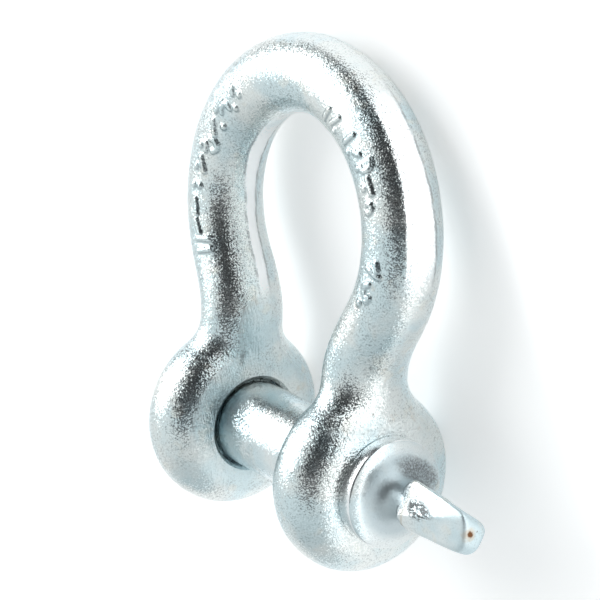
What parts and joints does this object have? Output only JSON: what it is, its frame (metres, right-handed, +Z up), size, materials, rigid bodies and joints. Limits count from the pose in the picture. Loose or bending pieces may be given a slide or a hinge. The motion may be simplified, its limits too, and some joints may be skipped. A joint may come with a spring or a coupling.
{
  "type": "screw pin bow shackle",
  "caption": "Forged bow shackle with a screw pin: a bar bent to a rounded loop, an ear at each end, and a collared pin with a flattened tab across them.",
  "frame": {"origin": "middle of the pin's axis, halfway between the ears", "axes": "+X along the pin towards its head, +Y towards the crown, +Z up; the shackle lies on its back on both ears and the crown, so the bow's plane leans about 8.6 degrees down towards the crown"},
  "size_m": [0.1389, 0.1464, 0.0546],
  "materials": {
    "bow": "forged, bright zinc plated, fine grain",
    "screw_pin": "turned and forged, bright zinc plated"
  },
  "bodies": {
    "bow_body": {"bow": "bow"},
    "pin_body": {"screw_pin": "screw_pin"}
  },
  "joints": [
    {"name": "pin_slide", "type": "slide", "parent": "bow_body", "child": "pin_body", "axis": [1, 0, 0], "range_m": [0, 0.09]}
  ]
}
